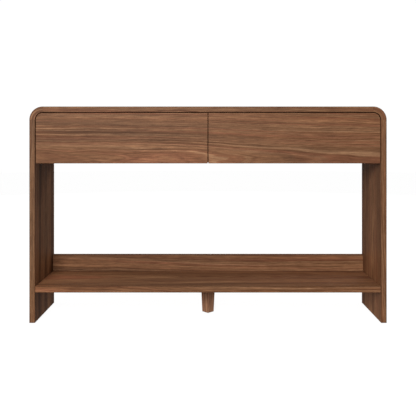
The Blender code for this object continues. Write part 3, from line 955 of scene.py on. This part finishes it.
SCREW_SHARES = (0.32, 0.86)  # places of a slide's screws along its length
CHANNEL_HOLES = ((0.32, 0.0035), (0.86, 0.0035), (0.10, 0.0022), (0.62, 0.0022))  # place, radius
RACE_MARGIN, CAGE_MARGIN = 0.006, 0.003  # from a race's end to the channel's, and to its cage's
CAGE_HALF, CAGE_THIN = 0.0019, 0.00025
LEVER_START = 0.063  # from a slide's front end to the middle of its lever
LEVER = (
    (-0.017, -0.0055), (0.003, -0.0045), (0.017, -0.0085), (0.021, -0.0070),
    (0.007, 0.0010), (-0.003, 0.0045), (-0.013, 0.0055), (-0.018, 0.0020),
)
LEVER_LAYERS = ((0.0002, 0.96), (0.0006, 1.0), (0.0020, 1.0), (0.0024, 0.96))  # height, scale


class CONSOLE_OT_slides(bpy.types.Operator):
    """Ball-bearing slides: channels with rounded bends, balls, cages, release levers and screws"""

    bl_idname = "console.slides"
    bl_label = "Slides"

    def execute(self, context):
        for hand in HANDS:
            for where in WHERES:
                self.make_slide(context.scene.console_hardware, hand, where)
        return {"FINISHED"}

    def make_slide(self, sizes, hand, where):
        name = f"{hand}_{where}_slide"
        middle_body, drawer_body = f"{hand}_{where}_middle_member", f"{hand}_drawer"
        cabinet, middle, drawer = (
            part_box(f"{name}_{member}") for member in ("cabinet_member", "middle_member", "drawer_member")
        )
        way = 1 if drawer[1].x > cabinet[1].x else -1
        middle_z = (cabinet[0].z + cabinet[1].z) / 2
        self.channel(name, "cabinet_member", "frame", cabinet, way)
        self.channel(name, "middle_member", middle_body, middle, way)
        self.channel(name, "drawer_member", drawer_body, drawer, -way)

        # Screws through the larger holes of the two outer members
        front, back = cabinet[0].y, cabinet[1].y
        cabinet_web = web_of(cabinet, way) + way * sizes.sheet
        drawer_web = web_of(drawer, -way) - way * sizes.sheet
        for title, head, web, facing, body in (
            ("wall_screws", "flat_head", cabinet_web, way, "frame"),
            ("box_screws", "round_head", drawer_web, -way, drawer_body),
        ):
            points = [(web, front + share * (back - front), middle_z) for share in SCREW_SHARES]
            screws(f"{name}_{title}", head, points, (facing, 0, 0), body)

        # Balls in the half of the middle member that each neighbour still covers when it is drawn out
        half_way = (middle[0].y + middle[1].y) / 2
        outer_z = (cabinet[1].z - sizes.sheet + middle[1].z) / 2 - middle_z
        inner_z = (middle[1].z - sizes.sheet + drawer[1].z) / 2 - middle_z
        races = (
            ("outer", cabinet, outer_z, half_way + RACE_MARGIN, middle[1].y - RACE_MARGIN),
            ("inner", drawer, inner_z, middle[0].y + RACE_MARGIN, half_way - RACE_MARGIN),
        )
        for race, neighbour, rise, start, end in races:
            x = (max(neighbour[0].x, middle[0].x) + min(neighbour[1].x, middle[1].x)) / 2
            for side, level in (("upper", middle_z + rise), ("lower", middle_z - rise)):
                self.race(f"{name}_{race}_{side}", sizes, x, level, start, end, middle_body)
        self.lever(name, drawer_web, way, front + LEVER_START, middle_z, drawer_body)

    def channel(self, name, member, body, box, opens):
        low, high = box
        back, tip = web_of(box, opens), web_of(box, -opens)
        middle_z = (low.z + high.z) / 2
        outline = channel_outline(back, tip, (high.z - low.z) / 2)
        rings = [[(x, y, middle_z + z) for x, z in outline] for y in (low.y, high.y)]
        piece = loft(f"{name}_{member}_channel", rings, "zinc_plate")
        holes = []
        reach = 0.002 * opens
        for share, radius in CHANNEL_HOLES:
            y = low.y + share * (high.y - low.y)
            holes.append(((back - reach, y, middle_z), (back + reach, y, middle_z), radius, 24))
        place_piece(drill(piece, *holes), body, "zinc_steel", f"{name}_{member}")

    def race(self, name, sizes, x, z, start, end, body):
        """A row of balls in a cage strip."""
        pitch = sizes.ball_pitch
        count = int((end - start) / pitch)
        first = (x, (start + end) / 2 - (count - 1) * pitch / 2, z)
        row = {"Count": count, "First": first, "Pitch": (0, pitch, 0), "Ball_Radius": sizes.ball_radius}
        balls = points_object(f"{name}_balls", [(0, 0, 0)], "ball_steel")
        place_piece(grow(balls, ball_race, **row), body, "zinc_steel", rounded=False)
        wide, thin = CAGE_HALF, CAGE_THIN
        section = [(-wide, thin), (-wide, -thin), (wide, -thin), (wide, thin)]
        section += [(wide * 0.8, thin * 2), (-wide * 0.8, thin * 2)]
        ends = (start - CAGE_MARGIN, end + CAGE_MARGIN)
        rings = [[(x + a, y, z + b) for a, b in section] for y in ends]
        place_piece(loft(f"{name}_cage", rings, "brass"), body, "zinc_steel", rounded=False)

    def lever(self, name, web_x, way, centre_y, z, body):
        """The nylon lever that frees the drawer from its slide."""
        rings = []
        for height, scale in LEVER_LAYERS:
            x = web_x - way * height
            rings.append([(x, centre_y + y * scale, z + rise * scale) for y, rise in LEVER])
        place_piece(loft(f"{name}_release_lever", rings, "dark_nylon"), body, "dark_nylon")


class CONSOLE_OT_screws(bpy.types.Operator):
    """Screws that hold the drawer fronts and the back panel"""

    bl_idname = "console.screws"
    bl_label = "Screws"

    def execute(self, context):
        backwards = (0, 1, 0)
        for hand in HANDS:
            low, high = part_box(f"{hand}_drawer_box_front")
            columns = [low.x + share * (high.x - low.x) for share in (0.12, 0.88)]
            rows = [low.z + share * (high.z - low.z) for share in (0.30, 0.78)]
            points = [(x, high.y, z) for x in columns for z in rows]
            screws(f"{hand}_front_screws", "round_head", points, backwards, f"{hand}_drawer")

        # Along the back panel's edges: six in each row, and two more up each end
        low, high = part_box("bay_back")
        edge, across, step_up = 0.010, 6, 0.075
        step = (high.x - low.x - 2 * edge) / (across - 1)
        columns = [low.x + edge + step * i for i in range(across)]
        rows = [low.z + edge + step_up * i for i in range(3)]
        points = [(x, high.y, rows[0]) for x in columns]
        points += [(x, high.y, z) for x in (columns[0], columns[-1]) for z in rows[1:]]
        points += [(x, high.y, high.z - edge) for x in columns[1:-1]]
        screws("back_panel_screws", "flat_head", points, backwards, "frame")
        return {"FINISHED"}


class CONSOLE_OT_cams(bpy.types.Operator):
    """Die-cast cams under the shelf, with a cross recess and a pointer"""

    bl_idname = "console.cams"
    bl_label = "Cams"

    def execute(self, context):
        pointer, depth = ((0.92, 0), (0.70, 0.16), (0.70, -0.16)), 0.0005
        for node in CAMS:
            low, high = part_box(node)
            x, y, _ = (low + high) / 2
            radius = (high.y - low.y) / 2
            toward_side = 1 if x > 0 else -1
            cam = copy_of(node, f"{node}_casting", "die_cast")
            cross_recess(cam, (x, y, low.z), radius * 1.1, 0.0018, 0.0022)
            outline = [(x + toward_side * radius * a, y + radius * b) for a, b in pointer]
            shape = bmesh.new()
            cap(shape, skin(shape, [[(*p, z) for p in outline] for z in (low.z - depth, low.z + depth)]))
            place_piece(carve(cam, shape), "frame", "zinc_steel", node)
        return {"FINISHED"}


class CONSOLE_OT_glides(bpy.types.Operator):
    """Nailed nylon glides under the sides and the middle foot"""

    bl_idname = "console.glides"
    bl_label = "Glides"

    def execute(self, context):
        pad, nail = 0.0017, 0.0015
        for node in [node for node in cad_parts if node.startswith("glide_")]:
            low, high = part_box(node)
            x, y, _ = (low + high) / 2
            radius = (high.x - low.x) / 2
            profile = [(AXLE, 0.0), (radius - 0.0006, 0.0), (radius - 0.0002, 0.0002), (radius, 0.0006)]
            profile += [(radius, pad - 0.0002), (radius - 0.0002, pad), (nail, pad)]
            profile += [(nail, high.z - nail), (AXLE, high.z)]
            glide = turned(f"{node}_pad", profile, (x, y, low.z), (0, 0, 1), "dark_nylon", 40)
            place_piece(glide, "frame", "dark_nylon", node)
        return {"FINISHED"}


class CONSOLE_OT_latches(bpy.types.Operator):
    """Push latches: a flanged sleeve and a plunger with a soft tip"""

    bl_idname = "console.latches"
    bl_label = "Push Latches"

    def execute(self, context):
        bore, bore_depth = 0.0031, 0.034
        backwards = (0, 1, 0)
        for hand in HANDS:
            node = f"{hand}_latch_housing"
            low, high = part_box(node)
            x, _, z = (low + high) / 2
            outer, length = (high.x - low.x) / 2, high.y - low.y
            profile = [(AXLE, bore_depth), (bore, bore_depth), (bore, 0.0), (outer - 0.0004, 0.0)]
            profile += [(outer, 0.0004), (outer, length - 0.001), (outer - 0.001, length), (AXLE, length)]
            sleeve = turned(f"{hand}_latch_sleeve", profile, (x, low.y, z), backwards, "dark_nylon")
            place_piece(sleeve, "frame", "dark_nylon", node)

            node = f"{hand}_latch_plunger"
            low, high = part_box(node)
            x, _, z = (low + high) / 2
            tip, length = (high.x - low.x) / 2, high.y - low.y
            stem = tip - 0.0003
            profile = [(AXLE, 0.0), (tip - 0.0012, 0.0), (tip - 0.0004, 0.0004), (tip, 0.0012)]
            profile += [(tip, 0.0030), (stem, 0.0032), (stem, length), (AXLE, length)]
            plunger = turned(f"{hand}_plunger_stem", profile, (x, low.y, z), backwards, "grey_nylon")
            place_piece(plunger, node, "dark_nylon", node)
        return {"FINISHED"}


class CONSOLE_OT_stage(bpy.types.Operator):
    """Floor, lights and camera"""

    bl_idname = "console.stage"
    bl_label = "Stage"

    def execute(self, context):
        stage = context.scene.console_stage
        self.make_cove(stage)
        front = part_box("top_panel")[0].y
        target = Vector((0, 0, 0.45))
        lights = (
            ("key_light", (-0.85, front - 4.1, 2.05), 1.7, stage.key, True),
            ("rear_light", (1.6, 3.6, 3.0), 1.7, stage.rear, False),
            ("back_fill", (0, 3.6, 0.75), 0.8, stage.fill, False),
            ("left_fill", (-3.6, 0, 1.0), 0.6, stage.fill, True),
            ("right_fill", (3.6, 0, 1.0), 0.6, stage.fill, True),
        )
        for name, place, size, power, glossy in lights:
            self.add_light(name, place, target, size, power).visible_glossy = glossy
        low, high = CAD_BOX
        above = Vector((0, 0, 1))
        bounce = self.add_light("floor_bounce", (0, 0, 0.001), above, high[0] - low[0], stage.bounce)
        bounce.data.shape = "RECTANGLE"
        bounce.data.size_y = high[1] - low[1]
        bounce.visible_camera = bounce.visible_glossy = False
        context.scene.world = world = bpy.data.worlds.new("studio")
        world.use_nodes = True
        background = world.node_tree.nodes["Background"].inputs
        background["Color"].default_value = (1.0, 0.99, 0.98, 1)
        background["Strength"].default_value = stage.ambient
        context.scene.view_settings.view_transform = "Standard"
        context.scene.camera = camera = add_object("camera", bpy.data.cameras.new("camera"))
        camera.data.lens = stage.lens
        camera.data.sensor_width = 36.0
        camera.data.shift_y = stage.shift
        camera.location = (0, front - stage.distance, stage.eye_height)
        camera.rotation_euler = (RIGHT_ANGLE, 0, 0)
        return {"FINISHED"}

    def make_cove(self, stage):
        """A round floor whose rim sweeps up into a wall."""
        floor_radius, bend, wall = 12.0, 3.0, 12.0
        profile = [(0.01, 0.0), (floor_radius, 0.0)]
        profile += [(floor_radius + r, bend + z) for r, z in arc((0, 0), bend, -90, 0, 12)]
        profile.append((floor_radius + bend, wall))
        shape = bmesh.new()
        rings = [[(*p, z) for p in arc((0, 0), radius, 0, 360, 64)[:-1]] for radius, z in profile]
        shape.faces.new(skin(shape, rings)[0])
        cove = add_object("cove", mesh_of(shape, "cove"))
        shader = Shader("cove_paper")
        place = shader.object_place()
        speck = shader.noise(place, 30.0)
        distance = shader.vector("LENGTH", place, output=1)
        paper = shader.finish(
            Base_Color=shader.mix(speck, (0.13, 0.13, 0.13), (0.14, 0.14, 0.14)),
            Roughness=0.9,
            Specular_IOR_Level=0.0,
            Emission_Color=shader.ramp(distance / 2, (0.4, stage.floor_tone), (0.75, 0.99)),
            Emission_Strength=1.0,
        )
        cove.data.materials.append(paper)
        cove.data.shade_smooth()
        cove.visible_diffuse = cove.visible_glossy = cove.visible_shadow = False

    def add_light(self, name, place, target, size, power):
        light = add_object(name, bpy.data.lights.new(name, "AREA"))
        light.data.shape, light.data.size, light.data.energy = "SQUARE", size, power
        light.location = place
        light.rotation_euler = (target - Vector(place)).to_track_quat("-Z", "Y").to_euler()
        return light


PIECES = (
    CONSOLE_OT_frame_boards,
    CONSOLE_OT_corner_blocks,
    CONSOLE_OT_middle_foot,
    CONSOLE_OT_drawer_fronts,
    CONSOLE_OT_carcass_finish,
    CONSOLE_OT_slides,
    CONSOLE_OT_screws,
    CONSOLE_OT_cams,
    CONSOLE_OT_glides,
    CONSOLE_OT_latches,
    CONSOLE_OT_stage,
)


class CONSOLE_PT_panel(bpy.types.Panel):
    """Builds the console table piece by piece"""

    bl_idname = "CONSOLE_PT_panel"
    bl_label = "Console Table"
    bl_space_type = "VIEW_3D"
    bl_region_type = "UI"
    bl_category = "Console Table"

    def draw(self, context):
        for piece in PIECES:
            self.layout.operator(piece.bl_idname)


SETTINGS = {
    "console_walnut": WalnutSettings,
    "console_boards": BoardSettings,
    "console_hardware": HardwareSettings,
    "console_stage": StageSettings,
}


def register():
    for owner in (*SETTINGS.values(), *PIECES, CONSOLE_PT_panel):
        bpy.utils.register_class(owner)
    for name, settings in SETTINGS.items():
        setattr(bpy.types.Scene, name, bpy.props.PointerProperty(type=settings))


def unregister():
    for name in SETTINGS:
        delattr(bpy.types.Scene, name)
    for owner in (CONSOLE_PT_panel, *reversed(PIECES), *reversed(SETTINGS.values())):
        bpy.utils.unregister_class(owner)


def main():
    register()
    for piece in PIECES:
        getattr(bpy.ops.console, piece.bl_idname.split(".")[1])()


if __name__ == "__main__":
    main()
